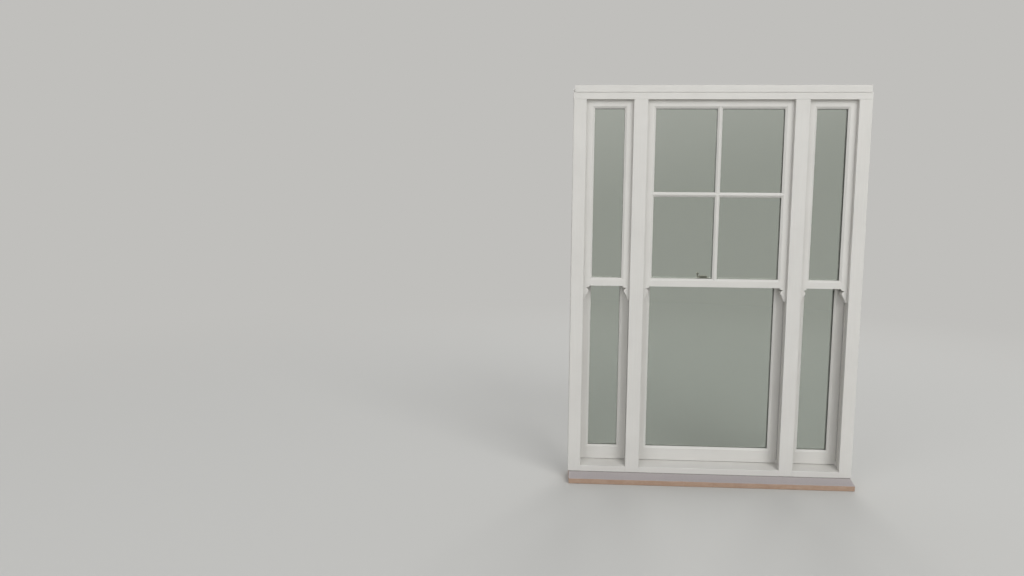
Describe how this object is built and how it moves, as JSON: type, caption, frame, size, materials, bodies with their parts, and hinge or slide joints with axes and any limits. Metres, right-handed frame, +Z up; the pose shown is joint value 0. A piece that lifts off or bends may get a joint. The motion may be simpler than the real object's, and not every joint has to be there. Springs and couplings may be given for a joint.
{
  "type": "sash window",
  "caption": "Painted timber sliding sash window in three lights, the wide centre one divided by glazing bars, with frame, balances and stone slip sill",
  "frame": {"origin": "middle of the underside of the slip sill, halfway through the depth of the whole window", "axes": "+X to the right seen from outside, +Y from outside into the room, +Z up"},
  "size_m": [1.513, 0.208, 2.108],
  "materials": {
    "frame_paint": "off-white satin paint",
    "sash_paint": "off-white satin paint",
    "glass": "clear float glass",
    "sill_stone": "fine sawn sandstone",
    "balance_white": "white tube",
    "zinc_steel": "zinc plated",
    "satin_metal": "satin nickel plate",
    "pile": "short brush pile"
  },
  "bodies": {
    "frame": {"slip_sill": "sill_stone", "sill": "frame_paint", "head": "frame_paint", "left_jamb": "sash_paint", "right_jamb": "sash_paint", "left_mullion": "sash_paint", "right_mullion": "sash_paint", "head_trim": "frame_paint", "outer_head_lining": "frame_paint", "outer_side_linings": "frame_paint", "outer_mullion_facings": "frame_paint", "inner_linings": "frame_paint", "inner_mullion_facings": "frame_paint", "parting_beads": "frame_paint", "staff_beads": "frame_paint", "pile_seals": "pile", "balance_tubes": "balance_white"},
    "left_upper_sash": {"left_upper_balance_rods": "zinc_steel", "left_upper_glass": "glass", "left_upper_glazing_beads": "sash_paint", "left_upper_meeting_rail": "sash_paint", "left_upper_stiles": "sash_paint", "left_upper_top_rail": "sash_paint"},
    "left_lower_sash": {"left_lower_balance_rods": "zinc_steel", "left_lower_bottom_rail": "sash_paint", "left_lower_glass": "glass", "left_lower_glazing_beads": "sash_paint", "left_lower_meeting_rail": "sash_paint", "left_lower_stiles": "sash_paint"},
    "centre_upper_sash": {"centre_upper_balance_rods": "zinc_steel", "centre_upper_glass": "glass", "centre_upper_glazing_beads": "sash_paint", "centre_upper_horizontal_bars": "sash_paint", "centre_upper_keeper": "satin_metal", "centre_upper_meeting_rail": "sash_paint", "centre_upper_stiles": "sash_paint", "centre_upper_top_rail": "sash_paint", "centre_upper_vertical_bar": "sash_paint"},
    "centre_lower_sash": {"centre_lower_balance_rods": "zinc_steel", "centre_lower_bottom_rail": "sash_paint", "centre_lower_fastener_base": "satin_metal", "centre_lower_glass": "glass", "centre_lower_glazing_beads": "sash_paint", "centre_lower_lifts": "satin_metal", "centre_lower_meeting_rail": "sash_paint", "centre_lower_stiles": "sash_paint"},
    "right_upper_sash": {"right_upper_balance_rods": "zinc_steel", "right_upper_glass": "glass", "right_upper_glazing_beads": "sash_paint", "right_upper_meeting_rail": "sash_paint", "right_upper_stiles": "sash_paint", "right_upper_top_rail": "sash_paint"},
    "right_lower_sash": {"right_lower_balance_rods": "zinc_steel", "right_lower_bottom_rail": "sash_paint", "right_lower_glass": "glass", "right_lower_glazing_beads": "sash_paint", "right_lower_meeting_rail": "sash_paint", "right_lower_stiles": "sash_paint"},
    "fastener_lever": {"fastener_lever": "satin_metal"}
  },
  "joints": [
    {"name": "left_upper_slide", "type": "slide", "parent": "frame", "child": "left_upper_sash", "axis": [0, 0, -1], "range_m": [0, 0.89]},
    {"name": "left_lower_slide", "type": "slide", "parent": "frame", "child": "left_lower_sash", "axis": [0, 0, 1], "range_m": [0, 0.9]},
    {"name": "centre_upper_slide", "type": "slide", "parent": "frame", "child": "centre_upper_sash", "axis": [0, 0, -1], "range_m": [0, 0.89]},
    {"name": "centre_lower_slide", "type": "slide", "parent": "frame", "child": "centre_lower_sash", "axis": [0, 0, 1], "range_m": [0, 0.9]},
    {"name": "right_upper_slide", "type": "slide", "parent": "frame", "child": "right_upper_sash", "axis": [0, 0, -1], "range_m": [0, 0.89]},
    {"name": "right_lower_slide", "type": "slide", "parent": "frame", "child": "right_lower_sash", "axis": [0, 0, 1], "range_m": [0, 0.9]},
    {"name": "fastener_turn", "type": "hinge", "parent": "centre_lower_sash", "child": "fastener_lever", "pos_m": [-0.053, 0.0429, 1.1143], "axis": [0, 0, 1], "range_deg": [-90, 0]}
  ]
}
